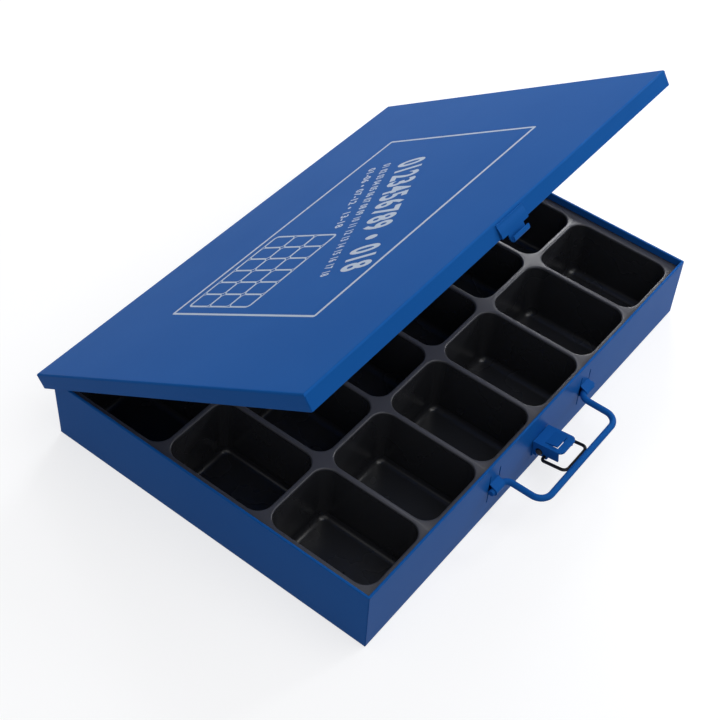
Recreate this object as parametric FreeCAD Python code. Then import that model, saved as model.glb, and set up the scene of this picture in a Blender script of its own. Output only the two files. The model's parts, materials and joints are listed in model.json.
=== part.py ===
"""Sheet-steel assortment box with a hinged lid, an 18-pocket insert, a wire handle and a toggle latch.

All sizes are in millimetres.  The origin is the centre of the case's underside, +X runs along
the front to the right, -Y is the front with the handle and latch, and +Z is up.
The model stands as it is photographed: lid part open, handle and latch lever turned out.
Each sub-part is written to parts/NODE.step.
"""
import FreeCAD
import Part
import math
import os

V = FreeCAD.Vector
X_AXIS = V(1, 0, 0)
Y_AXIS = V(0, 1, 0)
Z_AXIS = V(0, 0, 1)

# Case: one folded sheet with a hemmed rim
case_width = 326.0
case_depth = 227.0
case_height = 46.0
sheet = 0.8
bend_radius = 1.3
hem_drop = 5.2
hem_round = 0.85
seam_width = 0.5
seam_depth = 0.5

# Lid: a shallow folded pan that goes over the outside of the case
lid_side_gap = 1.4
lid_front_gap = 1.4
lid_back_gap = 2.0
lid_rim_gap = 0.2
lid_flange = 10.0
lid_open_angle = 33.2

# Insert: one thin formed sheet with its pockets in a grid
insert_sheet = 0.9
insert_side_gap = 0.3
insert_hem_gap = 0.4
pocket_columns = 6
pocket_rows = 3
divider_width = 3.2
margin_x = 5.7
margin_y = 4.4
pocket_draft = 3.6
pocket_corner = 9.6
pocket_corner_flats = 4
pocket_floor_fillet = 4.0
pocket_rim_fillet = 1.0
pocket_rim_roll = 0.6

# Hinges: two rolled-leaf hinges behind the case
hinge_length = 40.0
hinge_inset = 58.0
hinge_drop = 14.8
hinge_stand = 3.4
hinge_pin_radius = 1.0
hinge_leaf = 0.8
hinge_fit = 0.06
hinge_knuckle_gap = 0.3
hinge_leaf_height = 14.0
hinge_step = 1.0

# Handle: bent wire, held by two strips pressed out of the front wall
handle_wire = 4.0
handle_span = 80.0
handle_reach = 26.4
handle_height = 25.0
handle_wall_gap = 0.4
handle_neck_radius = 3.5
handle_corner_radius = 6.0
handle_end_stub = 2.0
handle_fit = 0.1
wire_bend_runs = 3
strip_width = 8.5
strip_height = 24.0
strip_slit = 1.1
strip_foot = 4.6

# Toggle latch: bracket on the case, lever with two ears, wire bail
bracket_sheet = 0.8
bracket_plate_half = 6.6
bracket_ear_out = 5.7
bracket_plate_low = 12.0
bracket_plate_high = 25.0
bracket_ear_round = 2.6
bracket_ear_lift = 1.0
pivot_stand = 5.4
pivot_height = 21.4
pivot_radius = 1.25
pivot_fit = 0.08
pivot_head_radius = 2.3
pivot_head_height = 0.9
pivot_head_chamfer = 0.4
plate_rivet_radius = 1.2
plate_rivet_head = 2.1
plate_rivet_head_height = 0.6
plate_rivet_inset = 2.4
lever_sheet = 1.0
lever_width = 16.5
lever_reach = 15.3
lever_root = 4.25
lever_plate_top = 5.95
lever_tilt = 8.0
lever_corner = 3.5
lever_ear_reach = 12.6
lever_ear_low = 1.5
lever_ear_round = 3.4
tab_width = 10.0
tab_start = 2.0
tab_end = 10.4
tab_rise = 1.3
tab_slot = 0.2
bail_wire = 2.0
bail_length = 16.6
bail_side_gap = 2.35
bail_hole_out = 3.64
bail_hole_low = 2.13
bail_eye = 2.1
bail_fit = 0.08
bail_rise = 10.0
bail_end_inside = 1.0
bail_neck_radius = 1.7
bail_corner_radius = 2.4

# Keeper on the lid's front flange
keeper_sheet = 0.8
keeper_width = 24.0
keeper_tongue = 14.0
keeper_top_inset = 1.8
keeper_flat = 1.3
keeper_stand = 1.0
keeper_slope = 4.6
keeper_hook_fit = 0.2
keeper_hook_rise = 1.6
latch_close_angle = 98.0

# Places that follow from the sizes above
wall_x = case_width / 2
wall_y = case_depth / 2
front = -wall_y
rim_inside = 2 * sheet
insert_top = case_height - hem_drop - insert_hem_gap
insert_half_x = wall_x - sheet - insert_side_gap
insert_half_y = wall_y - sheet - insert_side_gap
pocket_x = (2 * (insert_half_x - margin_x) - (pocket_columns - 1) * divider_width) / pocket_columns
pocket_y = (2 * (insert_half_y - margin_y) - (pocket_rows - 1) * divider_width) / pocket_rows
hinge_y = wall_y + hinge_stand
hinge_z = case_height - hinge_drop
hinge_bore = hinge_pin_radius + hinge_fit
knuckle_radius = hinge_bore + hinge_leaf
hinge_centre_x = wall_x - hinge_inset
handle_radius = handle_wire / 2
handle_stand = handle_wall_gap + handle_radius
handle_y = front - handle_stand
strip_x = handle_span / 2 + handle_neck_radius + strip_width / 2
pivot_y = front - pivot_stand
bail_radius = bail_wire / 2
bail_half = lever_width / 2 + bail_side_gap + bail_radius
lid_top = case_height + lid_rim_gap + sheet
lid_low = lid_top - lid_flange
lid_front = front - lid_front_gap - sheet


def box(x0, x1, y0, y1, z0, z1):
    """Box between two corners."""
    return Part.makeBox(x1 - x0, y1 - y0, z1 - z0, V(x0, y0, z0))


def tube_x(radius, x0, x1, y, z):
    """Round bar along X."""
    return Part.makeCylinder(radius, x1 - x0, V(x0, y, z), X_AXIS)


def clean(shape):
    """Merge faces that lie in one surface, and return the single solid."""
    merged = shape.removeSplitter()
    if len(merged.Solids) == 1:
        return merged.Solids[0]
    return merged


def plate_yz(points, x0, x1):
    """Flat plate across X whose outline is a list of (y, z) corners."""
    corners = [V(x0, y, z) for y, z in points]
    outline = Part.makePolygon(corners + corners[:1])
    return Part.Face(outline).extrude(V(x1 - x0, 0, 0))


def edges_where(shape, test):
    """Edges of a shape whose middle passes a test."""
    return [edge for edge in shape.Edges if test(edge)]


def is_upright(edge):
    """True for a straight edge along Z."""
    ends = [vertex.Point for vertex in edge.Vertexes]
    if len(ends) != 2:
        return False
    span = ends[1] - ends[0]
    return abs(span.x) < 1e-6 and abs(span.y) < 1e-6


def lies_at(edge, z):
    """True for an edge that lies in the level plane at z."""
    bounds = edge.BoundBox
    return abs(bounds.ZMin - z) < 1e-4 and abs(bounds.ZMax - z) < 1e-4


def folded_pan(x0, x1, y0, y1, depth, wall, outer_radius):
    """Open pan standing on z = 0 with round floor folds that meet in mitred corners."""
    outside = box(x0, x1, y0, y1, 0, depth)
    outside = outside.makeFillet(outer_radius, edges_where(outside, lambda edge: lies_at(edge, 0)))
    inside = box(x0 + wall, x1 - wall, y0 + wall, y1 - wall, wall, depth + wall)
    folds = edges_where(inside, lambda edge: lies_at(edge, wall))
    inside = inside.makeFillet(outer_radius - wall, folds)
    return outside.cut(inside)


def corner_seams(x0, x1, y0, y1, z0, z1):
    """Thin diagonal cutters for the butt seams at the four upright corners of a pan."""
    cutters = []
    for x, y, turn in ((x0, y0, 45), (x1, y0, 135), (x1, y1, 225), (x0, y1, 315)):
        cutter = box(-seam_depth, seam_depth, -seam_width / 2, seam_width / 2, z0, z1)
        cutter.rotate(V(0, 0, 0), Z_AXIS, turn)
        cutter.translate(V(x, y, 0))
        cutters.append(cutter)
    return Part.makeCompound(cutters)


def open_lid(shape):
    """Turn a shape from the closed lid's place to the rest pose."""
    shape.rotate(V(0, hinge_y, hinge_z), X_AXIS, -lid_open_angle)
    return shape


def strip_profile():
    """Side outline of a strip that bulges out round the handle wire, as (out, up) edges."""
    inner = handle_radius + handle_fit
    outer = inner + sheet
    centre_out = handle_stand
    reach = math.hypot(strip_foot, centre_out)
    lean = math.atan2(centre_out, -strip_foot) - math.asin(outer / reach)
    along = (math.cos(lean), math.sin(lean))
    normal = (along[1], -along[0])
    outer_touch = (normal[0] * outer, centre_out + normal[1] * outer)
    inner_touch = (normal[0] * inner, centre_out + normal[1] * inner)
    inner_slip = (inner_touch[1] + sheet) / along[1]
    inner_foot = inner_touch[0] - along[0] * inner_slip
    half = strip_height / 2

    def point(up, out):
        return V(0, front - out, handle_height + up)

    upper_out = [point(half, 0), point(strip_foot, 0), point(*outer_touch)]
    lower_out = [point(-outer_touch[0], outer_touch[1]), point(-strip_foot, 0), point(-half, 0)]
    lower_in = [point(-half, -sheet), point(-inner_foot, -sheet), point(-inner_touch[0], inner_touch[1])]
    upper_in = [point(*inner_touch), point(inner_foot, -sheet), point(half, -sheet)]
    edges = [Part.makeLine(a, b) for a, b in zip(upper_out, upper_out[1:])]
    edges.append(Part.Arc(upper_out[-1], point(0, centre_out + outer), lower_out[0]).toShape())
    edges += [Part.makeLine(a, b) for a, b in zip(lower_out, lower_out[1:])]
    edges.append(Part.makeLine(lower_out[-1], lower_in[0]))
    edges += [Part.makeLine(a, b) for a, b in zip(lower_in, lower_in[1:])]
    edges.append(Part.Arc(lower_in[-1], point(0, centre_out + inner), upper_in[0]).toShape())
    edges += [Part.makeLine(a, b) for a, b in zip(upper_in, upper_in[1:])]
    edges.append(Part.makeLine(upper_in[-1], upper_out[0]))
    return Part.Face(Part.Wire(edges))


def case_shell():
    """Case: floor and four walls, hemmed rim, corner seams and the two handle strips."""
    shell = folded_pan(-wall_x, wall_x, -wall_y, wall_y, case_height, sheet, bend_radius)
    hem_low = case_height - hem_drop
    hem = box(sheet - wall_x, wall_x - sheet, sheet - wall_y, wall_y - sheet, hem_low, case_height)
    hem = hem.cut(box(rim_inside - wall_x, wall_x - rim_inside, rim_inside - wall_y,
                      wall_y - rim_inside, hem_low - 1, case_height + 1))
    shell = shell.fuse(hem).removeSplitter()
    rim_edges = edges_where(shell, lambda edge: lies_at(edge, case_height))
    shell = shell.makeFillet(hem_round * sheet, rim_edges)
    shell = shell.cut(corner_seams(-wall_x, wall_x, -wall_y, wall_y, bend_radius, case_height + 1))
    half_window = strip_width / 2 + strip_slit
    for side in (-1, 1):
        centre = side * strip_x
        window = box(centre - half_window, centre + half_window, front - sheet, front + 2 * sheet,
                     handle_height - strip_height / 2, handle_height + strip_height / 2)
        strip = strip_profile().extrude(V(strip_width, 0, 0))
        strip.translate(V(centre - strip_width / 2, 0, 0))
        shell = shell.cut(window).fuse(strip)
    return clean(shell.cut(rivet_holes()))


def pocket_ring(inset, z):
    """Corners of a level ring round a pocket, with each round corner taken in short flats."""
    half_x = pocket_x / 2 - inset
    half_y = pocket_y / 2 - inset
    radius = pocket_corner - inset
    ring = []
    for sx, sy, start in ((1, 1, 0), (-1, 1, 90), (-1, -1, 180), (1, -1, 270)):
        for step in range(pocket_corner_flats + 1):
            turn = math.radians(start + 90 * step / pocket_corner_flats)
            x = sx * (half_x - radius) + radius * math.cos(turn)
            y = sy * (half_y - radius) + radius * math.sin(turn)
            ring.append(V(x, y, z))
    return ring


def ringed_solid(rings):
    """Closed solid through level rings, with a flat face between each pair of neighbours."""
    faces = [Part.Face(Part.makePolygon(ring + ring[:1])) for ring in (rings[0], rings[-1])]
    for low, high in zip(rings, rings[1:]):
        for index, corner in enumerate(low):
            after = (index + 1) % len(low)
            quad = [corner, low[after], high[after], high[index], corner]
            faces.append(Part.Face(Part.makePolygon(quad)))
    solid = Part.makeSolid(Part.makeShell(faces))
    if solid.Volume < 0:
        solid.reverse()
    return solid


def draft_inset(z):
    """How far a pocket's wall stands in from the pocket's mouth at height z."""
    return pocket_draft * (insert_top - z) / (insert_top - sheet)


def pocket_hollow():
    """Space inside one pocket: round floor edge, drafted walls and a rolled rim."""
    floor_z = sheet + insert_sheet
    rings = []
    for turn in (90, 45, 0):
        z = floor_z + pocket_floor_fillet * (1 - math.cos(math.radians(90 - turn)))
        curve = pocket_floor_fillet * (1 - math.cos(math.radians(turn)))
        rings.append(pocket_ring(draft_inset(z) + curve, z))
    rim_z = insert_top - pocket_rim_fillet
    rings.append(pocket_ring(draft_inset(rim_z), rim_z))
    rings.append(pocket_ring(-pocket_rim_roll, insert_top))
    return ringed_solid(rings)


def pocket_tub():
    """Outside of one pocket below the flange, one sheet bigger than the hollow."""
    levels = (sheet, insert_top - insert_sheet / 2)
    return ringed_solid([pocket_ring(draft_inset(z) - insert_sheet, z) for z in levels])


def pocket_centres():
    """Plan places of the pockets, column by column."""
    for column in range(pocket_columns):
        for row in range(pocket_rows):
            x = (column - (pocket_columns - 1) / 2) * (pocket_x + divider_width)
            y = (row - (pocket_rows - 1) / 2) * (pocket_y + divider_width)
            yield V(x, y, 0)


def compartment_insert():
    """Thin formed sheet: level flange and drafted pockets that stand on the case floor."""
    plate = box(-insert_half_x, insert_half_x, -insert_half_y, insert_half_y,
                insert_top - insert_sheet, insert_top)
    tub = pocket_tub()
    hollow = pocket_hollow()
    tubs = []
    hollows = []
    for centre in pocket_centres():
        for source, copies in ((tub, tubs), (hollow, hollows)):
            copy = source.copy()
            copy.translate(centre)
            copies.append(copy)
    return clean(plate.multiFuse(tubs).cut(Part.makeCompound(hollows)))


def lid_shell():
    """Lid: folded pan turned over, with corner seams."""
    half_x = wall_x + lid_side_gap + sheet
    back = wall_y + lid_back_gap + sheet
    pan = folded_pan(-half_x, half_x, lid_front, back, lid_flange, sheet, bend_radius)
    pan = pan.cut(corner_seams(-half_x, half_x, lid_front, back, bend_radius, lid_flange + 1))
    pan.rotate(V(0, (lid_front + back) / 2, 0), Y_AXIS, 180)
    pan.translate(V(0, 0, lid_top))
    return open_lid(clean(pan))


def hook_seat():
    """Place (y, z) of the bail's cross bar when the latch is shut, and the bail's turn to get there."""
    turn = math.radians(latch_close_angle)
    hole_y, hole_z = bail_hole()
    out = hole_y - pivot_y
    up = hole_z - pivot_height
    shut_y = pivot_y + out * math.cos(turn) - up * math.sin(turn)
    shut_z = pivot_height + out * math.sin(turn) + up * math.cos(turn)
    seat_y = lid_front - keeper_stand - keeper_sheet - keeper_hook_fit - bail_radius
    rise = math.sqrt(bail_length ** 2 - (seat_y - shut_y) ** 2)
    seat_z = shut_z + rise
    lift = math.degrees(math.atan2(rise, shut_y - seat_y))
    return seat_y, seat_z, -(lift - bail_rise) - latch_close_angle


def lid_keeper():
    """Keeper on the lid's front flange: a set-out plate whose middle tongue is rolled up into a hook."""
    seat_y, seat_z, _ = hook_seat()
    inner = bail_radius + keeper_hook_fit
    outer = inner + keeper_sheet
    top = lid_top - keeper_top_inset
    bend = top - keeper_flat
    low = bend - keeper_slope
    tip_z = seat_z + keeper_hook_rise
    face = lid_front
    skin = face - keeper_sheet
    back_y = seat_y + outer
    front_y = seat_y + inner
    outer_lip = seat_y - outer
    inner_lip = seat_y - inner
    swell = keeper_stand / 4
    middle = (bend + low) / 2
    back_middle = (face + back_y) / 2 - swell
    front_middle = (skin + front_y) / 2 - swell
    edges = [
        Part.makeLine(V(0, face, top), V(0, face, bend)),
        Part.Arc(V(0, face, bend), V(0, back_middle, middle), V(0, back_y, low)).toShape(),
        Part.makeLine(V(0, back_y, low), V(0, back_y, seat_z)),
        Part.Arc(V(0, back_y, seat_z), V(0, seat_y, seat_z - outer), V(0, outer_lip, seat_z)).toShape(),
        Part.makeLine(V(0, outer_lip, seat_z), V(0, outer_lip, tip_z)),
        Part.makeLine(V(0, outer_lip, tip_z), V(0, inner_lip, tip_z)),
        Part.makeLine(V(0, inner_lip, tip_z), V(0, inner_lip, seat_z)),
        Part.Arc(V(0, inner_lip, seat_z), V(0, seat_y, seat_z - inner), V(0, front_y, seat_z)).toShape(),
        Part.makeLine(V(0, front_y, seat_z), V(0, front_y, low)),
        Part.Arc(V(0, front_y, low), V(0, front_middle, middle), V(0, skin, bend)).toShape(),
        Part.makeLine(V(0, skin, bend), V(0, skin, top)),
        Part.makeLine(V(0, skin, top), V(0, face, top)),
    ]
    half = keeper_width / 2
    half_tongue = keeper_tongue / 2
    plate = Part.Face(Part.Wire(edges)).extrude(V(keeper_width, 0, 0))
    plate.translate(V(-half, 0, 0))
    for x0, x1 in ((-half, -half_tongue), (half_tongue, half)):
        plate = plate.cut(box(x0, x1, seat_y - outer, face, seat_z - outer, lid_low))
    return open_lid(clean(plate))


def knuckle_spans(centre_x):
    """The three knuckle spans of one hinge, from left to right."""
    length = (hinge_length - 2 * hinge_knuckle_gap) / 3
    start = centre_x - hinge_length / 2
    return [(start + index * (length + hinge_knuckle_gap),
             start + index * (length + hinge_knuckle_gap) + length) for index in range(3)]


def knuckles(leaf, spans, keep):
    """Cut a leaf back to its own knuckles, and roll those round the pin."""
    for index, (x0, x1) in enumerate(spans):
        if index in keep:
            leaf = leaf.fuse(tube_x(knuckle_radius, x0, x1, hinge_y, hinge_z))
        else:
            room = tube_x(knuckle_radius + hinge_knuckle_gap, x0 - hinge_knuckle_gap,
                          x1 + hinge_knuckle_gap, hinge_y, hinge_z)
            leaf = leaf.cut(room)
    first = spans[0][0]
    last = spans[-1][1]
    leaf = leaf.cut(tube_x(hinge_bore, first - 1, last + 1, hinge_y, hinge_z))
    return clean(leaf)


def case_leaf(centre_x):
    """Hinge leaf on the case's back wall, set out to its two outer knuckles."""
    spans = knuckle_spans(centre_x)
    roll_y = hinge_y - hinge_bore
    low = hinge_z - knuckle_radius - hinge_leaf_height
    step = hinge_z - knuckle_radius - hinge_step
    leaf = plate_yz([
        (wall_y, low), (wall_y + hinge_leaf, low), (wall_y + hinge_leaf, step - hinge_leaf),
        (roll_y, step + hinge_leaf), (roll_y, hinge_z), (roll_y - hinge_leaf, hinge_z),
        (roll_y - hinge_leaf, step + 2 * hinge_leaf), (wall_y, step + hinge_leaf),
    ], spans[0][0], spans[-1][1])
    return knuckles(leaf, spans, (0, 2))


def lid_leaf(centre_x):
    """Hinge leaf inside the lid's back flange, rolled into the middle knuckle."""
    spans = knuckle_spans(centre_x)
    roll_y = hinge_y - hinge_bore
    seat_y = wall_y + lid_back_gap
    high = lid_top - sheet - bend_radius
    step = hinge_z + knuckle_radius + hinge_step
    leaf = plate_yz([
        (seat_y, high), (seat_y - hinge_leaf, high), (seat_y - hinge_leaf, step + hinge_leaf),
        (roll_y - hinge_leaf, step), (roll_y - hinge_leaf, hinge_z), (roll_y, hinge_z),
        (roll_y, step), (seat_y, step + hinge_leaf),
    ], spans[0][0], spans[-1][1])
    return open_lid(knuckles(leaf, spans, (1,)))


def hinge_pin(centre_x):
    """Plain hinge pin, flush with the outer knuckles."""
    spans = knuckle_spans(centre_x)
    return tube_x(hinge_pin_radius, spans[0][0], spans[-1][1], hinge_y, hinge_z)


def bent_wire(points, bends, radius):
    """Round wire along straight runs, with each bend taken in short mitred runs."""
    path = [points[0]]
    for before, corner, after, bend in zip(points, points[1:], points[2:], bends):
        inward = (before - corner).normalize()
        outward = (after - corner).normalize()
        half_angle = inward.getAngle(outward) / 2
        centre = corner + (inward + outward).normalize() * (bend / math.sin(half_angle))
        first = corner + inward * (bend / math.tan(half_angle))
        sweep = math.pi - 2 * half_angle
        turn = inward.cross(outward)
        swell = 1 / math.cos(sweep / wire_bend_runs / 2)
        for run in range(wire_bend_runs):
            spoke = FreeCAD.Rotation(turn, -math.degrees(sweep * (run + 0.5) / wire_bend_runs))
            path.append(centre + spoke.multVec(first - centre) * swell)
    path.append(points[-1])
    section = Part.Wire(Part.makeCircle(radius, path[0], path[1] - path[0]))
    return Part.makePolygon(path).makePipeShell([section], True, False, 1)


def carry_handle():
    """Wire handle: an end in each strip, two short legs and the grip."""
    end_x = strip_x + strip_width / 2 + handle_end_stub
    leg_x = handle_span / 2
    grip_y = handle_y - handle_reach
    points = [
        V(-end_x, handle_y, handle_height),
        V(-leg_x, handle_y, handle_height),
        V(-leg_x, grip_y, handle_height),
        V(leg_x, grip_y, handle_height),
        V(leg_x, handle_y, handle_height),
        V(end_x, handle_y, handle_height),
    ]
    bends = (handle_neck_radius, handle_corner_radius, handle_corner_radius, handle_neck_radius)
    return bent_wire(points, bends, handle_radius)


def latch_bracket():
    """Bracket: a plate on the front wall with two ears that carry the lever's rivet."""
    plate = box(-bracket_plate_half, bracket_plate_half, front - bracket_sheet, front,
                bracket_plate_low, bracket_plate_high)
    for side in (-1, 1):
        outer = side * bracket_ear_out
        inner = side * (bracket_ear_out - bracket_sheet)
        x0 = min(outer, inner)
        x1 = max(outer, inner)
        ear = box(x0, x1, pivot_y, front, bracket_plate_low + bracket_ear_lift,
                  pivot_height + bracket_ear_round)
        ear = ear.fuse(tube_x(bracket_ear_round, x0, x1, pivot_y, pivot_height))
        corner = box(x0 - 1, x1 + 1, pivot_y - 1, pivot_y + bracket_ear_round,
                     bracket_plate_low, pivot_height - bracket_ear_round)
        plate = plate.fuse(ear.cut(corner))
    bore = tube_x(pivot_radius, -bracket_plate_half, bracket_plate_half, pivot_y, pivot_height)
    plate = plate.cut(bore)
    return clean(plate.cut(rivet_holes()))


def rivet_places():
    """Heights of the two rivets that hold the bracket to the front wall."""
    return (bracket_plate_low + plate_rivet_inset, bracket_plate_high - plate_rivet_inset)


def rivet_holes():
    """Cutters for the bracket's two rivet holes, through plate and wall."""
    holes = [Part.makeCylinder(plate_rivet_radius, 4 * sheet, V(0, front - 2 * sheet, z), Y_AXIS)
             for z in rivet_places()]
    return Part.makeCompound(holes)


def bracket_rivets():
    """Two rivets through bracket plate and wall, with a flat head outside and inside."""
    rivets = []
    outside = front - bracket_sheet - plate_rivet_head_height
    length = bracket_sheet + sheet + 2 * plate_rivet_head_height
    for z in rivet_places():
        rivet = Part.makeCylinder(plate_rivet_radius, length, V(0, outside, z), Y_AXIS)
        for y in (outside, outside + length - plate_rivet_head_height):
            head = Part.makeCylinder(plate_rivet_head, plate_rivet_head_height, V(0, y, z), Y_AXIS)
            rivet = rivet.fuse(head)
        rivets.append(clean(rivet))
    return Part.makeCompound(rivets)


def lever_place(shape):
    """Move a shape from the lever's own frame (pivot at the origin, out = -Y) to the rest pose."""
    shape.rotate(V(0, 0, 0), X_AXIS, -lever_tilt)
    shape.translate(V(0, pivot_y, pivot_height))
    return shape


def bail_hole():
    """Place (y, z) of the bail's holes in the lever's ears at rest."""
    tilt = math.radians(lever_tilt)
    y = pivot_y - (bail_hole_out * math.cos(tilt) + bail_hole_low * math.sin(tilt))
    z = pivot_height + bail_hole_out * math.sin(tilt) - bail_hole_low * math.cos(tilt)
    return y, z


def latch_lever():
    """Lever: flat thumb plate with a raised tab, and an ear each side for the rivet and the bail."""
    half = lever_width / 2
    plate_low = lever_plate_top - lever_sheet
    plate = box(-half, half, -lever_reach, lever_root, plate_low, lever_plate_top)
    tip_edges = edges_where(plate, lambda edge: is_upright(edge) and edge.BoundBox.YMax < 0)
    plate = plate.makeFillet(lever_corner, tip_edges)
    bore = pivot_radius + pivot_fit
    for side in (-1, 1):
        x0 = min(side * half, side * (half - lever_sheet))
        x1 = x0 + lever_sheet
        ear = plate_yz([
            (lever_root, plate_low), (-lever_ear_reach, plate_low),
            (-lever_ear_reach, -lever_ear_low), (-bail_hole_out, -lever_ear_low),
            (0, -lever_ear_low), (lever_root, 0),
        ], x0, x1)
        ear = ear.fuse(tube_x(lever_ear_round, x0, x1, 0, 0).cut(
            box(x0 - 1, x1 + 1, lever_root, 2 * lever_root, -2 * lever_root, 2 * lever_root)))
        ear = ear.fuse(tube_x(bail_eye, x0, x1, -bail_hole_out, -bail_hole_low))
        plate = plate.fuse(ear)
    plate = plate.cut(tube_x(bore, -half - 1, half + 1, 0, 0))
    eye = tube_x(bail_radius + bail_fit, -half - 1, half + 1, -bail_hole_out, -bail_hole_low)
    plate = plate.cut(eye)
    slot = tab_width / 2 + tab_slot
    window = box(-slot, slot, -tab_end - tab_slot, -tab_start, plate_low - 1, lever_plate_top + 1)
    plate = plate.cut(window)
    tab = plate_yz([
        (-tab_start, plate_low), (-tab_start, lever_plate_top),
        (-tab_end, lever_plate_top + tab_rise), (-tab_end, plate_low + tab_rise),
    ], -tab_width / 2, tab_width / 2)
    return lever_place(clean(plate.fuse(tab)))


def latch_rivet():
    """Rivet through bracket and lever, with a low head outside each ear of the lever."""
    half = lever_width / 2 + pivot_fit
    shank = tube_x(pivot_radius, -half, half, pivot_y, pivot_height)
    head = tube_x(pivot_head_radius, half, half + pivot_head_height, pivot_y, pivot_height)
    rim = edges_where(head, lambda edge: edge.BoundBox.XMin > half + pivot_head_height - 1e-4)
    head = head.makeChamfer(pivot_head_chamfer, rim)
    other = head.mirror(V(0, 0, 0), X_AXIS)
    return clean(shank.fuse(head).fuse(other))


def latch_bail():
    """Wire bail: an end in each ear of the lever, two legs and the cross bar."""
    hole_y, hole_z = bail_hole()
    rise = math.radians(bail_rise)
    bar_y = hole_y - bail_length * math.cos(rise)
    bar_z = hole_z + bail_length * math.sin(rise)
    end_x = lever_width / 2 - lever_sheet - bail_end_inside
    points = [
        V(-end_x, hole_y, hole_z),
        V(-bail_half, hole_y, hole_z),
        V(-bail_half, bar_y, bar_z),
        V(bail_half, bar_y, bar_z),
        V(bail_half, hole_y, hole_z),
        V(end_x, hole_y, hole_z),
    ]
    bends = (bail_neck_radius, bail_corner_radius, bail_corner_radius, bail_neck_radius)
    return bent_wire(points, bends, bail_radius)


def build():
    """All sub-parts by node name."""
    nodes = {
        "case_shell": case_shell(),
        "compartment_insert": compartment_insert(),
        "lid_shell": lid_shell(),
        "lid_keeper": lid_keeper(),
        "carry_handle": carry_handle(),
        "latch_bracket": latch_bracket(),
        "bracket_rivets": bracket_rivets(),
        "latch_lever": latch_lever(),
        "latch_rivet": latch_rivet(),
        "latch_bail": latch_bail(),
    }
    for name, side in (("left", -1), ("right", 1)):
        centre_x = side * hinge_centre_x
        nodes["hinge_" + name + "_case_leaf"] = case_leaf(centre_x)
        nodes["hinge_" + name + "_lid_leaf"] = lid_leaf(centre_x)
        nodes["hinge_" + name + "_pin"] = hinge_pin(centre_x)
    return nodes


def main():
    """Write one STEP file for each sub-part."""
    os.makedirs("parts", exist_ok=True)
    for name, shape in build().items():
        shape.exportStep("parts/" + name + ".step")
        print(name, len(shape.Solids), "solids", "valid", shape.isValid(), round(shape.Volume, 1), "mm3")
    seat_y, seat_z, bail_turn = hook_seat()
    print("hook seat", round(seat_y, 3), round(seat_z, 3), "bail turn", round(bail_turn, 3))


main()
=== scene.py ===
"""The looks of a sheet-steel assortment box.

Lid, case, pocket insert, wire handle and toggle latch.

Lengths in the dataclasses are millimetres, and MM turns them to the scene's metres.
"""

import json
import logging
import math
from dataclasses import dataclass
from enum import Enum
from typing import Sequence

import bmesh
import bpy
from mathutils import Matrix, Vector


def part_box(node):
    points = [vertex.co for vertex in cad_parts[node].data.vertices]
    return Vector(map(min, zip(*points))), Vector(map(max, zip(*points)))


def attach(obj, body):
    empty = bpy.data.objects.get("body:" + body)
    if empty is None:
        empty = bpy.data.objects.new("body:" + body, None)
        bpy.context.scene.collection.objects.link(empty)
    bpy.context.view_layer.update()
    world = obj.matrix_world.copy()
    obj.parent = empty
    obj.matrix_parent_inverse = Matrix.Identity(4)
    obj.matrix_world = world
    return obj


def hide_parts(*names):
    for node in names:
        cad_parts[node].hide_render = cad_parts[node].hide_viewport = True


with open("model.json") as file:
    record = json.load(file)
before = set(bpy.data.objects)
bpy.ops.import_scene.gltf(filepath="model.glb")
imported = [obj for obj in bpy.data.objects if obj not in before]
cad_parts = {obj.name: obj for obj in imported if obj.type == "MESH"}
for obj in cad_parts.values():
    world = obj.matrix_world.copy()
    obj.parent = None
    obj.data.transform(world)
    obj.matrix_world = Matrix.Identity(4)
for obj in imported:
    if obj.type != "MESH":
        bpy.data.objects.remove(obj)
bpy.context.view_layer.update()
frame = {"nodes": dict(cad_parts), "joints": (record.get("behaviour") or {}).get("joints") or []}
LOG = logging.getLogger("assortment_box")
MM = 0.001

# Sockets of the Mix node that share a name are told apart by their index.
MIX_FLOAT_A, MIX_FLOAT_B = 2, 3
MIX_COLOUR_A, MIX_COLOUR_B, MIX_COLOUR = 6, 7, 2

Colour = tuple[float, float, float, float]
WHITE: Colour = (1, 1, 1, 1)


class Body(Enum):
    """The bodies that pieces ride on."""

    BOX = "box"
    LID = "lid"
    HANDLE = "handle"
    LEVER = "lever"
    BAIL = "bail"


def linear(hex_colour: str) -> Colour:
    """Turn an sRGB hex colour to linear light, by the curve of the sRGB standard.

    Args:
        hex_colour: Six hex digits after a hash sign.

    Returns:
        Linear red, green, blue and an alpha of 1.
    """
    channels = [int(hex_colour[i:i + 2], 16) / 255 for i in (1, 3, 5)]
    red, green, blue = (
        c / 12.92 if c <= 0.04045 else ((c + 0.055) / 1.055) ** 2.4 for c in channels)
    return red, green, blue, 1.0


def add_node(tree: bpy.types.NodeTree, kind: str, inputs: dict | None = None,
             **settings) -> bpy.types.Node:
    """Add a shader node with its settings and links.

    Args:
        tree: The material's or world's node tree.
        kind: The node's type name.
        inputs: Values, or output sockets to link, by input name or index.
        settings: Properties of the node itself.

    Returns:
        The new node.
    """
    node = tree.nodes.new(kind)
    for name, value in settings.items():
        setattr(node, name, value)
    for name, value in (inputs or {}).items():
        if isinstance(value, bpy.types.NodeSocket):
            tree.links.new(value, node.inputs[name])
        else:
            node.inputs[name].default_value = value
    return node


def new_material(name: str) -> bpy.types.Material:
    """Make an empty material with nodes."""
    material = bpy.data.materials.new(name)
    material.use_nodes = True
    material.node_tree.nodes.clear()
    return material


def object_place(tree: bpy.types.NodeTree) -> bpy.types.NodeSocket:
    """Add the socket that gives a point's place on its object, in metres."""
    return add_node(tree, "ShaderNodeTexCoord").outputs["Object"]


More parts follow.
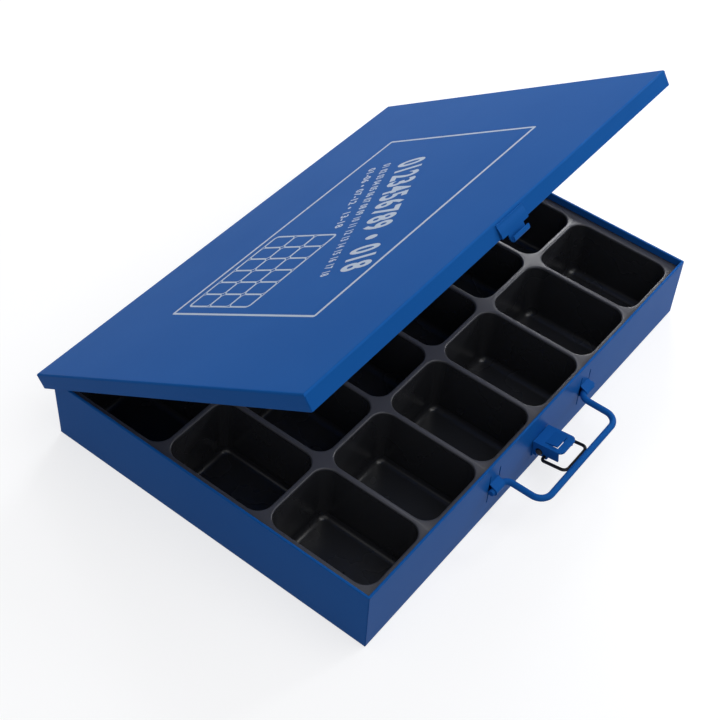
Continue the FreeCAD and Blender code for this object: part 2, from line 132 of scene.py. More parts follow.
def noise(tree: bpy.types.NodeTree, place: bpy.types.NodeSocket, size_mm: float, detail: float,
          **inputs: float) -> bpy.types.NodeSocket:
    """Add a noise.

    Args:
        tree: The material's node tree.
        place: Where the noise is looked up.
        size_mm: Rough size of its blotches.
        detail: Octaves of finer noise in it.
        inputs: Further values by input name.

    Returns:
        The noise's value, from 0 to 1.
    """
    values = {"Vector": place, "Scale": 1 / (size_mm * MM), "Detail": detail, **inputs}
    return add_node(tree, "ShaderNodeTexNoise", values).outputs["Fac"]


@dataclass(frozen=True)
class StoveEnamel:
    """Stove enamel sprayed on sheet steel, with a faint orange peel.

    Its gloss is kept low, because the photo shows next to no reflection of the floor in it.
    """

    name: str
    colour: str
    shade: str
    roughness: float = 0.36
    roughness_spread: float = 0.03
    gloss: float = 0.02
    ior: float = 1.5
    peel_mm: float = 1.8
    peel_height: float = 0.012
    peel_strength: float = 0.25
    cloud_mm: float = 60.0
    cloud_roughness: float = 0.55

    def material(self) -> bpy.types.Material:
        """Build the enamel: two close blues in slow clouds, and a fine peel in the surface."""
        material = new_material(self.name)
        tree = material.node_tree
        place = object_place(tree)
        cloud = noise(tree, place, self.cloud_mm, 3.0, Roughness=self.cloud_roughness)
        blend = add_node(tree, "ShaderNodeMix", {
            "Factor": cloud, MIX_COLOUR_A: linear(self.colour),
            MIX_COLOUR_B: linear(self.shade)}, data_type="RGBA")
        peel = noise(tree, place, self.peel_mm, 1.0)
        bump = add_node(tree, "ShaderNodeBump", {
            "Height": peel, "Strength": self.peel_strength, "Distance": self.peel_height * MM})
        rough = add_node(tree, "ShaderNodeMapRange", {
            "Value": cloud, "To Min": self.roughness - self.roughness_spread,
            "To Max": self.roughness + self.roughness_spread})
        shader = add_node(tree, "ShaderNodeBsdfPrincipled", {
            "Base Color": blend.outputs[MIX_COLOUR], "Roughness": rough.outputs[0],
            "IOR": self.ior, "Specular IOR Level": self.gloss, "Normal": bump.outputs[0]})
        add_node(tree, "ShaderNodeOutputMaterial", {"Surface": shader.outputs[0]})
        return material


@dataclass(frozen=True)
class FormedPolystyrene:
    """Black polystyrene sheet, vacuum formed.

    The flat top of the sheet is a lighter grey than the pockets: a painted sheen, for the light
    that it catches. The pockets, which stretch in the mould, are smoother and have the sheet's
    own black.
    """

    name: str
    # Colour of the flat top: lighter than the sheet's own black, as a painted sheen.
    web_painted_sheen: str
    pocket: str
    web_roughness: float = 0.38
    pocket_roughness: float = 0.27
    roughness_spread: float = 0.05
    ior: float = 1.59
    web_depth_mm: float = 1.6
    grain_mm: float = 0.7
    grain_height: float = 0.02
    grain_strength: float = 0.2
    patch_mm: float = 35.0

    def material(self) -> bpy.types.Material:
        """Build the sheet: its tone (a painted sheen, lighter on the flat top) and its gloss go
        by height, with a fine grain all over.
        """
        material = new_material(self.name)
        tree = material.node_tree
        place = object_place(tree)
        height = add_node(tree, "ShaderNodeSeparateXYZ", {"Vector": place}).outputs["Z"]
        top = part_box("compartment_insert")[1].z
        flat = add_node(tree, "ShaderNodeMapRange", {
            "Value": height, "From Min": top - self.web_depth_mm * MM,
            "From Max": top}).outputs[0]
        # Painted sheen: the flat top is mixed towards the lighter grey, for the light that it
        # catches.
        tone = add_node(tree, "ShaderNodeMix", {
            "Factor": flat, MIX_COLOUR_A: linear(self.pocket),
            MIX_COLOUR_B: linear(self.web_painted_sheen)}, data_type="RGBA")
        grain = noise(tree, place, self.grain_mm, 2.0)
        bump = add_node(tree, "ShaderNodeBump", {
            "Height": grain, "Strength": self.grain_strength,
            "Distance": self.grain_height * MM})
        gloss = add_node(tree, "ShaderNodeMix", {
            "Factor": flat, MIX_FLOAT_A: self.pocket_roughness,
            MIX_FLOAT_B: self.web_roughness})
        patch = noise(tree, place, self.patch_mm, 3.0)
        spread = add_node(tree, "ShaderNodeMapRange", {
            "Value": patch, "To Min": -self.roughness_spread, "To Max": self.roughness_spread})
        rough = add_node(tree, "ShaderNodeMath", {
            0: gloss.outputs[0], 1: spread.outputs[0]}, operation="ADD")
        shader = add_node(tree, "ShaderNodeBsdfPrincipled", {
            "Base Color": tone.outputs[MIX_COLOUR], "Roughness": rough.outputs[0],
            "IOR": self.ior, "Normal": bump.outputs[0]})
        add_node(tree, "ShaderNodeOutputMaterial", {"Surface": shader.outputs[0]})
        return material


@dataclass(frozen=True)
class BlackenedWire:
    """Spring wire with a black oxide finish: dark, with drawing marks along it."""

    name: str
    colour: str
    roughness: float = 0.38
    roughness_spread: float = 0.08
    metallic: float = 0.6
    draw_mm: float = 0.4

    def material(self) -> bpy.types.Material:
        """Build the dark wire with its drawing marks."""
        material = new_material(self.name)
        tree = material.node_tree
        marks = noise(tree, object_place(tree), self.draw_mm, 2.0)
        rough = add_node(tree, "ShaderNodeMapRange", {
            "Value": marks, "To Min": self.roughness - self.roughness_spread,
            "To Max": self.roughness + self.roughness_spread})
        shader = add_node(tree, "ShaderNodeBsdfPrincipled", {
            "Base Color": linear(self.colour), "Metallic": self.metallic,
            "Roughness": rough.outputs[0]})
        add_node(tree, "ShaderNodeOutputMaterial", {"Surface": shader.outputs[0]})
        return material


@dataclass(frozen=True)
class ScreenInk:
    """Matt screen-print ink on the enamel: a thin, slightly uneven silver-white layer.

    Where the layer is thin, a little of the dark blue below it shows through.
    """

    name: str
    colour: str
    below: Colour = (0.0, 0.02, 0.10, 1.0)
    thinnest: float = 0.88
    roughness: float = 0.55
    mesh_mm: float = 0.35

    def material(self) -> bpy.types.Material:
        """Build the ink with the faint unevenness of the screen."""
        material = new_material(self.name)
        tree = material.node_tree
        weave = noise(tree, object_place(tree), self.mesh_mm, 2.0)
        tone = add_node(tree, "ShaderNodeMapRange", {
            "Value": weave, "To Min": self.thinnest, "To Max": 1.0})
        blend = add_node(tree, "ShaderNodeMix", {
            "Factor": tone.outputs[0], MIX_COLOUR_A: self.below,
            MIX_COLOUR_B: linear(self.colour)}, data_type="RGBA")
        shader = add_node(tree, "ShaderNodeBsdfPrincipled", {
            "Base Color": blend.outputs[MIX_COLOUR], "Roughness": self.roughness})
        add_node(tree, "ShaderNodeOutputMaterial", {"Surface": shader.outputs[0]})
        return material


class Finish(Enum):
    """The finishes on this box."""

    PAINT = StoveEnamel("blue stove enamel", "#1A5FAE", "#1859A6")
    # The insert's lighter grey, #4C4D55, is a painted sheen on its flat top; #28292D is the
    # sheet's own black.
    INSERT = FormedPolystyrene("black formed polystyrene", "#4C4D55", "#28292D")
    WIRE = BlackenedWire("blackened spring wire", "#1A1C22")
    INK = ScreenInk("silver screen ink", "#C3D2E6")


MATERIALS: dict[Finish, bpy.types.Material] = {}


def material_of(finish: Finish) -> bpy.types.Material:
    """Build a finish's material once, and return it."""
    if finish not in MATERIALS:
        MATERIALS[finish] = finish.value.material()
    return MATERIALS[finish]


def add_piece(name: str, bm: bmesh.types.BMesh, finish: Finish, body: Body,
              replaces: Sequence[str] = (), sharp_deg: float = 32.0) -> bpy.types.Object:
    """Turn a bmesh into a finished piece of the object.

    Args:
        name: The piece's name.
        bm: The shape, in metres in the frame. It is freed.
        finish: What the piece is finished with.
        body: The body that it rides on.
        replaces: CAD nodes that it stands for.
        sharp_deg: Edges that turn by more stay sharp.

    Returns:
        The new object.
    """
    mesh = bpy.data.meshes.new(name)
    bm.to_mesh(mesh)
    bm.free()
    mesh.shade_smooth()
    mesh.set_sharp_from_angle(angle=math.radians(sharp_deg))
    mesh.materials.append(material_of(finish))
    piece = bpy.data.objects.new(name, mesh)
    bpy.context.scene.collection.objects.link(piece)
    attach(piece, body.value)
    if replaces:
        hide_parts(*replaces)
    LOG.info("%s: %d faces on %s", name, len(mesh.polygons), body.value)
    return piece


def even_shading(piece: bpy.types.Object, weight: int = 90) -> None:
    """Let large flat faces keep flat shading beside their rounded edges.

    Args:
        piece: The object.
        weight: How much a large face outweighs a small one, from 1 to 100.
    """
    modifier = piece.modifiers.new("even shading", "WEIGHTED_NORMAL")
    modifier.keep_sharp = True
    modifier.weight = weight


def round_ring(bm: bmesh.types.BMesh, half_x: float, half_y: float, corner: float, z: float,
               steps: int) -> list[bmesh.types.BMEdge]:
    """Make a level rectangle with round corners, as a loop of edges.

    Args:
        bm: Where the loop is made.
        half_x: Half its length along X, in mm.
        half_y: Half its length along Y, in mm.
        corner: Corner radius in mm.
        z: Its height in mm.
        steps: Edges in each round corner.

    Returns:
        The loop's edges.
    """
    made = bmesh.ops.create_grid(bm, x_segments=1, y_segments=1, size=0.5)
    verts = made["verts"]
    bmesh.ops.scale(bm, vec=(2 * half_x * MM, 2 * half_y * MM, 1), verts=verts)
    bmesh.ops.translate(bm, vec=(0, 0, z * MM), verts=verts)
    if corner > 0:
        bmesh.ops.bevel(bm, geom=verts, offset=corner * MM, offset_type="OFFSET", segments=steps,
                        profile=0.5, affect="VERTICES", material=-1)
    bm.faces.ensure_lookup_table()
    face = bm.faces[-1]
    edges = list(face.edges)
    bmesh.ops.delete(bm, geom=[face], context="FACES_ONLY")
    return edges


def drop_inner_faces(bm: bmesh.types.BMesh) -> None:
    """Delete faces that extrusions and spins left inside a closed shape."""
    inner = [face for face in bm.faces if all(len(edge.link_faces) > 2 for edge in face.edges)]
    bmesh.ops.delete(bm, geom=inner, context="FACES_ONLY")


@dataclass
class PocketInsert:
    """The black insert: one formed sheet with its pockets in a grid."""

    columns: int = 6
    rows: int = 3
    divider: float = 3.2
    margin_x: float = 5.7
    margin_y: float = 4.4
    draft: float = 3.6
    corner: float = 9.6
    rim: float = 0.9
    floor_fillet: float = 4.0
    sheet: float = 0.9
    corner_steps: int = 10
    rim_steps: int = 4
    fillet_steps: int = 6
    merge_distance: float = 0.02
    edge_tolerance: float = 0.05

    def __post_init__(self) -> None:
        """Take the insert's outer size from the frame."""
        low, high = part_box("compartment_insert")
        self.half_x = (high.x - low.x) / 2 / MM
        self.half_y = (high.y - low.y) / 2 / MM
        self.top = high.z / MM
        self.floor = low.z / MM + self.sheet
        spare_x = 2 * (self.half_x - self.margin_x) - (self.columns - 1) * self.divider
        spare_y = 2 * (self.half_y - self.margin_y) - (self.rows - 1) * self.divider
        self.pocket_x = spare_x / self.columns
        self.pocket_y = spare_y / self.rows

    def profile(self) -> list[tuple[float, float]]:
        """List the pocket's wall as (inset, height) from the rolled rim to the floor."""
        slope = self.draft / (self.top - self.floor)
        levels = []
        for step in range(self.rim_steps + 1):
            turn = math.radians(90 * step / self.rim_steps)
            drop = self.rim * (1 - math.cos(turn))
            levels.append((self.rim * (math.sin(turn) - 1) + slope * drop, self.top - drop))
        for step in range(self.fillet_steps + 1):
            turn = math.radians(90 * step / self.fillet_steps)
            height = self.floor + self.floor_fillet * (1 - math.sin(turn))
            curve = self.floor_fillet * (1 - math.cos(turn))
            levels.append((slope * (self.top - height) + curve, height))
        return levels

    def build(self) -> bpy.types.Object:
        """Build one cell, repeat it over the grid and give the sheet its thickness."""
        bm = bmesh.new()
        cell_x = (self.pocket_x + self.divider) / 2
        cell_y = (self.pocket_y + self.divider) / 2
        last = round_ring(bm, cell_x, cell_y, 0, self.top, 1)
        for inset, height in self.profile():
            ring = round_ring(bm, self.pocket_x / 2 - inset, self.pocket_y / 2 - inset,
                              self.corner - inset, height, self.corner_steps)
            bmesh.ops.bridge_loops(bm, edges=last + ring)
            last = ring
        bmesh.ops.contextual_create(bm, geom=last)
        cell = list(bm.verts) + list(bm.edges) + list(bm.faces)
        for column in range(self.columns):
            for row in range(self.rows):
                made = bmesh.ops.duplicate(bm, geom=cell)
                shift = ((column - (self.columns - 1) / 2) * 2 * cell_x * MM,
                         (row - (self.rows - 1) / 2) * 2 * cell_y * MM, 0)
                verts = [item for item in made["geom"] if isinstance(item, bmesh.types.BMVert)]
                bmesh.ops.translate(bm, vec=shift, verts=verts)
        bmesh.ops.delete(bm, geom=[item for item in cell if isinstance(item, bmesh.types.BMVert)],
                         context="VERTS")
        bmesh.ops.remove_doubles(bm, verts=bm.verts, dist=self.merge_distance * MM)
        self.stretch_margins(bm, cell_x, cell_y)
        bmesh.ops.recalc_face_normals(bm, faces=bm.faces)
        bm.faces.ensure_lookup_table()
        level = max(bm.faces, key=lambda face: face.calc_center_median().z)
        if level.normal.z < 0:
            bmesh.ops.reverse_faces(bm, faces=bm.faces)
        piece = add_piece("pocket_insert", bm, Finish.INSERT, Body.BOX,
                          ["compartment_insert"], sharp_deg=40)
        wall = piece.modifiers.new("sheet", "SOLIDIFY")
        wall.thickness = self.sheet * MM
        wall.offset = -1
        wall.use_even_offset = True
        even_shading(piece)
        return piece

    def stretch_margins(self, bm: bmesh.types.BMesh, cell_x: float, cell_y: float) -> None:
        """Move the outer edge of the grid of cells out to the insert's own edge.

        Args:
            bm: The joined cells.
            cell_x: Half a cell along X, in mm.
            cell_y: Half a cell along Y, in mm.
        """
        edge_x = self.columns * cell_x
        edge_y = self.rows * cell_y
        for axis, edge, half in ((0, edge_x, self.half_x), (1, edge_y, self.half_y)):
            for side in (-1, 1):
                shift = Vector((0, 0, 0))
                shift[axis] = side * (half - edge) * MM
                outer = [vert for vert in bm.verts
                         if abs(vert.co[axis] - side * edge * MM) < self.edge_tolerance * MM]
                bmesh.ops.translate(bm, vec=shift, verts=outer)


@dataclass
class BentWire:
    """A round wire along straight runs with round bends."""

    name: str
    radius: float
    points: Sequence[Vector]
    bends: Sequence[float]
    body: Body
    finish: Finish
    slot: str
    node: str
    sides: int = 24
    bend_steps: int = 12
    merge_distance: float = 0.002
    end_round: float = 0.15

    def build(self) -> bpy.types.Object:
        """Sweep the wire's section: extrude it along each run, and spin it round each bend."""
        bm = bmesh.new()
        here = self.points[0]
        heading = (self.points[1] - here).normalized()
        made = bmesh.ops.create_circle(bm, cap_ends=True, segments=self.sides,
                                       radius=self.radius * MM)
        turn = heading.to_track_quat("Z", "Y").to_matrix().to_4x4()
        bmesh.ops.transform(bm, matrix=Matrix.Translation(here * MM) @ turn,
                            verts=made["verts"])
        face = made["verts"][0].link_faces[0]
        for before, corner, after, bend in zip(self.points, self.points[1:], self.points[2:],
                                               self.bends):
            inward = (corner - before).normalized()
            outward = (after - corner).normalized()
            angle = inward.angle(outward)
            setback = bend * math.tan(angle / 2)
            first = corner - inward * setback
            face = self.push(bm, face, first - here)
            axis = inward.cross(outward).normalized()
            centre = first + axis.cross(inward) * bend
            spun = bmesh.ops.spin(bm, geom=[face], cent=centre * MM, axis=axis, dvec=(0, 0, 0),
                                  angle=angle, steps=self.bend_steps, use_merge=False)
            face = [item for item in spun["geom_last"] if isinstance(item, bmesh.types.BMFace)][0]
            here = corner + outward * setback
        self.push(bm, face, self.points[-1] - here)
        bmesh.ops.remove_doubles(bm, verts=bm.verts, dist=self.merge_distance * MM)
        drop_inner_faces(bm)
        self.round_ends(bm)
        bmesh.ops.recalc_face_normals(bm, faces=bm.faces)
        return add_piece(self.name, bm, self.finish, self.body, [self.node],
                         sharp_deg=50)

    def round_ends(self, bm: bmesh.types.BMesh) -> None:
        """Break the edges of the two sheared ends, by a share of the wire's radius."""
        caps = [face for face in bm.faces if len(face.verts) == self.sides]
        edges = [edge for face in caps for edge in face.edges]
        bmesh.ops.bevel(bm, geom=edges, offset=self.radius * self.end_round * MM,
                        offset_type="OFFSET", segments=2, profile=0.5, affect="EDGES",
                        material=-1)

    @staticmethod
    def push(bm: bmesh.types.BMesh, face: bmesh.types.BMFace, step: Vector) -> bmesh.types.BMFace:
        """Extrude the end of the wire by one run.

        Args:
            bm: The wire so far.
            face: Its end face.
            step: The run, in mm.

        Returns:
            The new end face.
        """
        made = bmesh.ops.extrude_face_region(bm, geom=[face], use_keep_orig=False)
        verts = [item for item in made["geom"] if isinstance(item, bmesh.types.BMVert)]
        bmesh.ops.translate(bm, vec=step * MM, verts=verts)
        return [item for item in made["geom"] if isinstance(item, bmesh.types.BMFace)][0]


@dataclass
class CarryHandle:
    """The wire handle: an end in each strip, two short legs and the grip."""

    radius: float = 2.0
    neck: float = 5.5
    corner: float = 8.0
    leg: float = 40.0

    def build(self) -> None:
        """Take the handle's outline from its CAD node and bend the wire along it."""
        low, high = (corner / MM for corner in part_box("carry_handle"))
        out_y = low.y + self.radius
        wall_y = high.y - self.radius
        z = (low.z + high.z) / 2
        points = [Vector((low.x, wall_y, z)), Vector((-self.leg, wall_y, z)),
                  Vector((-self.leg, out_y, z)), Vector((self.leg, out_y, z)),
                  Vector((self.leg, wall_y, z)), Vector((high.x, wall_y, z))]
        bends = (self.neck, self.corner, self.corner, self.neck)
        BentWire("wire_handle", self.radius, points, bends, Body.HANDLE, Finish.PAINT,
                 "handle_paint", "carry_handle").build()


@dataclass
class LatchBail:
    """The wire bail of the latch, from ear to ear of the lever round its cross bar."""

    radius: float = 1.0
    neck: float = 1.9
    corner: float = 3.4
    lever_wall: float = 1.0
    end_inside: float = 1.0

    def build(self) -> None:
        """Take the bail's place from its CAD node and bend the wire along it."""
        low, high = (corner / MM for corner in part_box("latch_bail"))
        joint = next(joint for joint in frame["joints"] if joint["name"] == "bail_turn")
        hole = Vector(joint["pos_m"]) / MM
        side = high.x - self.radius
        bar_y = low.y + self.radius
        bar_z = high.z - self.radius
        lever_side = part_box("latch_lever")[1].x / MM
        end = lever_side - self.lever_wall - self.end_inside
        points = [Vector((-end, hole.y, hole.z)), Vector((-side, hole.y, hole.z)),
                  Vector((-side, bar_y, bar_z)), Vector((side, bar_y, bar_z)),
                  Vector((side, hole.y, hole.z)), Vector((end, hole.y, hole.z))]
        bends = (self.neck, self.corner, self.corner, self.neck)
        BentWire("wire_bail", self.radius, points, bends, Body.BAIL, Finish.WIRE, "dark_wire",
                 "latch_bail", sides=16, bend_steps=8).build()


@dataclass(frozen=True)
class TextRow:
    """One row of plain numbers: where it starts along and up the print, and its size, in mm."""

    name: str
    characters: str
    along: float
    up: float
    length: float
    height: float


@dataclass
class LidPrint:
    """The print on the lid: a frame, a chart of the pockets and rows of plain numbers.

    Places are on the shut lid, from the middle of the case, X to the right and Y to the back.
    """

    frame_left: float = -101.9
    frame_right: float = 103.9
    frame_front: float = -62.5
    frame_back: float = 59.7
    frame_corner: float = 1.6
    line: float = 1.8
    chart_left: float = -93.2
    chart_right: float = -16.8
    chart_front: float = 0.0
    chart_back: float = 53.0
    cell_line: float = 0.75
    cell_corner: float = 2.6
    columns: int = 6
    rows: int = 3
    corner_steps: int = 6
    least_corner: float = 0.05
    ink: float = 0.03
    text_x: float = 74.75
    text_y: float = 27.0
    text_turn_deg: float = 206.57
    letter_space: float = 1.14
    letter_weight: float = 0.03
    letter_steps: int = 4
    letter_merge_m: float = 1e-5
    text_rows: tuple[TextRow, ...] = (
        TextRow("print_title", "0123456789 \u2022 018", 6.0, 0.7, 145.0, 19.5),
        TextRow("print_row_1", "01 02 03 04 05 06 07 08 09 10 11 12 13 14 15 16 17 18",
                0.0, -11.2, 149.0, 5.4),
        TextRow("print_row_2", "01-06 \u2022 07-12 \u2022 13-18", 0.0, -21.6, 84.0, 5.4),
    )

    def __post_init__(self) -> None:
        """Take the lid's hinge and its opening from the frame."""
        joint = next(joint for joint in frame["joints"] if joint["name"] == "lid_hinge")
        self.hinge = Vector(joint["pos_m"])
        self.open_angle = math.radians(abs(min(joint["range_deg"])))
        self.surface = self.lid_surface()

    def lid_surface(self) -> float:
        """Height of the lid's outer face when shut, from its vertices turned shut."""
        turn = Matrix.Rotation(self.open_angle, 4, "X")
        vertices = frame["nodes"]["lid_shell"].data.vertices
        shut = [turn @ (vert.co - self.hinge) for vert in vertices]
        return (max(point.z for point in shut) + self.hinge.z) / MM

    def opened(self) -> Matrix:
        """Matrix from the shut lid's place to the rest pose."""
        turn = Matrix.Rotation(-self.open_angle, 4, "X")
        return Matrix.Translation(self.hinge) @ turn @ Matrix.Translation(-self.hinge)

    def build(self) -> None:
        """Print the frame, the chart and the numbers."""
        self.build_frame()
        self.build_chart()
        for row in self.text_rows:
            self.build_text(row)

    def lay_down(self, name: str, bm: bmesh.types.BMesh) -> None:
        """Give flat ink its thickness and lay it on the opened lid.

        Args:
            name: The piece's name.
            bm: Flat faces at the lid's surface, in metres. It is freed.
        """
        made = bmesh.ops.extrude_face_region(bm, geom=list(bm.faces), use_keep_orig=True)
        top = [item for item in made["geom"] if isinstance(item, bmesh.types.BMVert)]
        bmesh.ops.translate(bm, vec=(0, 0, self.ink * MM), verts=top)
        bmesh.ops.recalc_face_normals(bm, faces=bm.faces)
        bmesh.ops.transform(bm, matrix=self.opened(), verts=bm.verts)
        add_piece(name, bm, Finish.INK, Body.LID, sharp_deg=30)

    def ring(self, bm: bmesh.types.BMesh, centre: tuple[float, float],
             half: tuple[float, float], corner: float, line: float) -> None:
        """Draw one closed line with round corners.

        Args:
            bm: The print so far.
            centre: Middle of the outline, in mm.
            half: Half its length along X and Y, in mm.
            corner: Outer corner radius in mm.
            line: Line thickness in mm.
        """
        before = set(bm.verts)
        outer = round_ring(bm, half[0], half[1], corner, self.surface, self.corner_steps)
        inner = round_ring(bm, half[0] - line, half[1] - line,
                           max(corner - line, self.least_corner), self.surface,
                           self.corner_steps)
        bmesh.ops.bridge_loops(bm, edges=outer + inner)
        verts = [vert for vert in bm.verts if vert not in before]
        bmesh.ops.translate(bm, vec=(centre[0] * MM, centre[1] * MM, 0), verts=verts)

    def build_frame(self) -> None:
        """Print the frame round everything."""
        bm = bmesh.new()
        centre = ((self.frame_left + self.frame_right) / 2,
                  (self.frame_front + self.frame_back) / 2)
        half = ((self.frame_right - self.frame_left) / 2,
                (self.frame_back - self.frame_front) / 2)
        self.ring(bm, centre, half, self.frame_corner, self.line)
        self.lay_down("print_frame", bm)

    def build_chart(self) -> None:
        """Print one small outline for each pocket, and a heavier line round them."""
        bm = bmesh.new()
        pitch_x = (self.chart_right - self.chart_left) / self.columns
        pitch_y = (self.chart_back - self.chart_front) / self.rows
        for column in range(self.columns):
            for row in range(self.rows):
                centre = (self.chart_left + (column + 0.5) * pitch_x,
                          self.chart_front + (row + 0.5) * pitch_y)
                self.ring(bm, centre, (pitch_x / 2, pitch_y / 2), self.cell_corner,
                          self.cell_line)
        middle = ((self.chart_left + self.chart_right) / 2,
                  (self.chart_front + self.chart_back) / 2)
        half = ((self.chart_right - self.chart_left) / 2 + self.cell_line,
                (self.chart_back - self.chart_front) / 2 + self.cell_line)
        self.ring(bm, middle, half, self.cell_corner + self.cell_line, self.cell_line)
        self.lay_down("print_chart", bm)

    def build_text(self, row: TextRow) -> None:
        """Print one row of plain numbers, drawn to its length and height.

        Args:
            row: What is printed, and where.
        """
        curve = bpy.data.curves.new(row.name, "FONT")
        curve.body = row.characters
        curve.offset = self.letter_weight
        curve.space_character = self.letter_space
        curve.resolution_u = self.letter_steps
        flat = bpy.data.objects.new(row.name + "_outline", curve)
        bpy.context.scene.collection.objects.link(flat)
        bpy.context.view_layer.update()
        mesh = bpy.data.meshes.new_from_object(flat)
        bpy.data.objects.remove(flat)
        bm = bmesh.new()
        bm.from_mesh(mesh)
        bpy.data.meshes.remove(mesh)
        bmesh.ops.remove_doubles(bm, verts=bm.verts, dist=self.letter_merge_m)
        low = Vector(min(vert.co[axis] for vert in bm.verts) for axis in range(3))
        high = Vector(max(vert.co[axis] for vert in bm.verts) for axis in range(3))
        size = high - low
        bmesh.ops.translate(bm, vec=-low, verts=bm.verts)
        stretch = (row.length * MM / size.x, row.height * MM / size.y, 1)
        bmesh.ops.scale(bm, vec=stretch, verts=bm.verts)
        start = (row.along * MM, row.up * MM, self.surface * MM)
        bmesh.ops.translate(bm, vec=start, verts=bm.verts)
        turn = Matrix.Rotation(math.radians(self.text_turn_deg), 4, "Z")
        place = Matrix.Translation((self.text_x * MM, self.text_y * MM, 0))
        bmesh.ops.transform(bm, matrix=place @ turn, verts=bm.verts)
        self.lay_down(row.name, bm)


@dataclass
class StudioCamera:
    """The camera at the photograph's angle: its place in mm, and its middle in pixels."""

    place: tuple[float, float, float] = (-503.81, -337.97, 669.72)
    forward: tuple[float, float, float] = (0.579001, 0.39208, -0.714864)
    right: tuple[float, float, float] = (0.607622, -0.792129, 0.057684)
    sensor: float = 36.0
    focal_share: float = 1450.786 / 720
    centre_x: float = 382.67
    centre_y: float = 312.82
    frame_px: float = 720.0
    nearest_m: float = 0.01
    farthest_m: float = 50.0

    def build(self) -> None:
        """Make the camera and set it as the scene's."""
        data = bpy.data.cameras.new("camera")
        data.sensor_width = self.sensor
        data.lens = self.focal_share * self.sensor
        data.shift_x = -(self.centre_x - self.frame_px / 2) / self.frame_px
        data.shift_y = (self.centre_y - self.frame_px / 2) / self.frame_px
        data.clip_start = self.nearest_m
        data.clip_end = self.farthest_m
        camera = bpy.data.objects.new("camera", data)
        forward = Vector(self.forward).normalized()
        right = Vector(self.right)
        right = (right - forward * right.dot(forward)).normalized()
        up = right.cross(forward)
        turn = Matrix((right, up, -forward)).transposed().to_4x4()
        camera.matrix_world = Matrix.Translation(Vector(self.place) * MM) @ turn
        bpy.context.scene.collection.objects.link(camera)
        bpy.context.scene.camera = camera


@dataclass(frozen=True)
class Lamp:
    """One soft box light, aimed at the middle of the object. Its lengths are metres."""

    name: str
    direction: tuple[float, float, float]
    distance: float
    size: float
    power: float
    aim_height: float = 0.05

    def build(self) -> None:
        """Make the area light and aim it."""
        data = bpy.data.lights.new(self.name, "AREA")
        data.shape = "SQUARE"
        data.size = self.size
        data.energy = self.power
        data.color = WHITE[:3]
        lamp = bpy.data.objects.new(self.name, data)
        aim = Vector((0, 0, self.aim_height))
        away = Vector(self.direction).normalized()
        lamp.location = aim + away * self.distance
        lamp.rotation_mode = "QUATERNION"
        lamp.rotation_quaternion = away.to_track_quat("Z", "Y")
        bpy.context.scene.collection.objects.link(lamp)


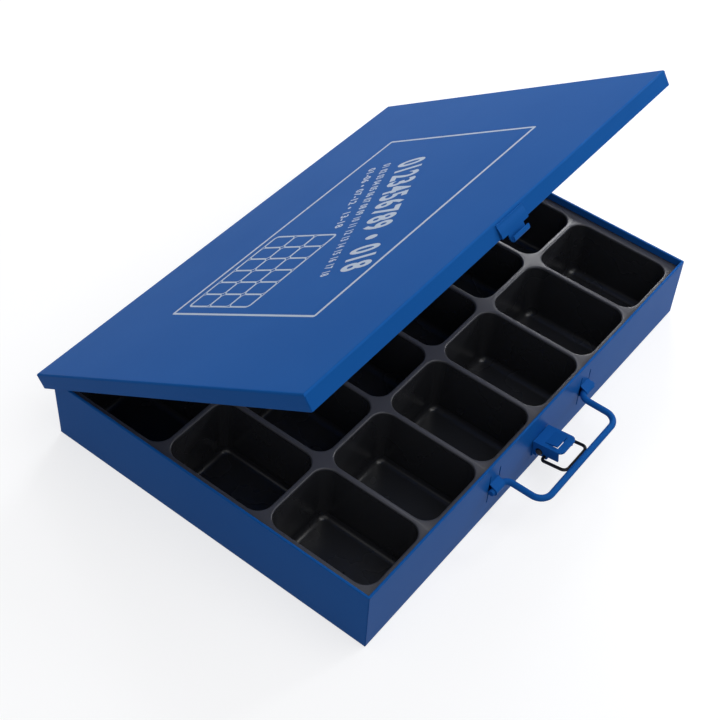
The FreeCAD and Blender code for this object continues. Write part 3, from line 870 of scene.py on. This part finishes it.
@dataclass
class Studio:
    """Floor, world and lamps. Lengths are metres."""

    floor_size: float = 60.0
    floor_colour: str = "#A8A9AC"
    floor_glow: float = 0.70
    world_light: float = 0.34
    lamps: tuple[Lamp, ...] = (
        Lamp("top_lamp", (0.15, -0.38, 1.0), 1.6, 1.2, 7.6),
        Lamp("back_lamp", (0.45, 0.40, 0.80), 1.2, 0.3, 1.2),
        Lamp("key_lamp", (0.80, -0.46, 0.39), 0.85, 0.14, 1.6),
        Lamp("right_lamp", (0.80, 0.38, 0.45), 1.2, 0.3, 4.0),
        Lamp("left_lamp", (-0.80, -0.30, 0.50), 1.6, 1.0, 1.4),
    )

    def build(self) -> None:
        """Make the pale floor, the world and the lamps."""
        self.build_floor()
        self.build_world()
        for lamp in self.lamps:
            lamp.build()

    def build_floor(self) -> None:
        """Make a pale floor that keeps the object's shadow.

        Its glow is for the camera, and for reflections and glass as much, so that they show the
        same background. It gives the object no light.
        """
        bm = bmesh.new()
        bmesh.ops.create_grid(bm, x_segments=1, y_segments=1, size=self.floor_size / 2)
        mesh = bpy.data.meshes.new("floor")
        bm.to_mesh(mesh)
        bm.free()
        floor = bpy.data.objects.new("floor", mesh)
        bpy.context.scene.collection.objects.link(floor)
        material = new_material("pale floor")
        tree = material.node_tree
        light = add_node(tree, "ShaderNodeLightPath").outputs
        mirrored = add_node(tree, "ShaderNodeMath", {
            0: light["Is Glossy Ray"], 1: light["Is Transmission Ray"]}, operation="ADD")
        seen = add_node(tree, "ShaderNodeMath", {
            0: light["Is Camera Ray"], 1: mirrored.outputs[0]}, operation="ADD", use_clamp=True)
        strength = add_node(tree, "ShaderNodeMath", {
            0: seen.outputs[0], 1: self.floor_glow}, operation="MULTIPLY")
        diffuse = add_node(tree, "ShaderNodeBsdfDiffuse", {"Color": linear(self.floor_colour)})
        glow = add_node(tree, "ShaderNodeEmission", {
            "Color": WHITE, "Strength": strength.outputs[0]})
        both = add_node(tree, "ShaderNodeAddShader", {
            0: diffuse.outputs[0], 1: glow.outputs[0]})
        add_node(tree, "ShaderNodeOutputMaterial", {"Surface": both.outputs[0]})
        mesh.materials.append(material)

    def build_world(self) -> None:
        """Make an even pale world."""
        world = bpy.data.worlds.new("studio")
        world.use_nodes = True
        tree = world.node_tree
        tree.nodes.clear()
        glow = add_node(tree, "ShaderNodeBackground", {
            "Color": WHITE, "Strength": self.world_light})
        add_node(tree, "ShaderNodeOutputWorld", {"Surface": glow.outputs[0]})
        bpy.context.scene.world = world


@dataclass
class CadFinishes:
    """Finishes and softened edges for the CAD nodes that keep their shape."""

    edge: float = 0.2
    edge_steps: int = 2
    sharp_deg: float = 35.0
    merge_distance: float = 0.002

    PAINTED = ("case_shell", "lid_shell", "lid_keeper", "latch_bracket", "bracket_rivets",
               "latch_lever", "hinge_left_case_leaf", "hinge_right_case_leaf",
               "hinge_left_lid_leaf", "hinge_right_lid_leaf", "hinge_left_pin",
               "hinge_right_pin")
    DARK = ("latch_rivet",)

    def apply(self) -> None:
        """Give each node its finish."""
        for names, finish in ((self.PAINTED, Finish.PAINT), (self.DARK, Finish.WIRE)):
            for name in names:
                node = frame["nodes"][name]
                node.data.materials.clear()
                node.data.materials.append(material_of(finish))
                self.soften(node)

    def soften(self, node: bpy.types.Object) -> None:
        """Round a node's sharp edges a little, as paint and deburring do.

        Args:
            node: The CAD node's object.
        """
        weld = node.modifiers.new("joined", "WELD")
        weld.merge_threshold = self.merge_distance * MM
        bevel = node.modifiers.new("broken edges", "BEVEL")
        bevel.width = self.edge * MM
        bevel.segments = self.edge_steps
        bevel.limit_method = "ANGLE"
        bevel.angle_limit = math.radians(self.sharp_deg)
        bevel.use_clamp_overlap = True
        even_shading(node)


def main() -> None:
    """Build the scene piece by piece."""
    logging.basicConfig(level=logging.INFO, format="%(name)s %(message)s")
    StudioCamera().build()
    Studio().build()
    CadFinishes().apply()
    PocketInsert().build()
    CarryHandle().build()
    LatchBail().build()
    LidPrint().build()
    scene = bpy.context.scene
    scene.view_settings.view_transform = "Standard"


if __name__ == "__main__":
    main()
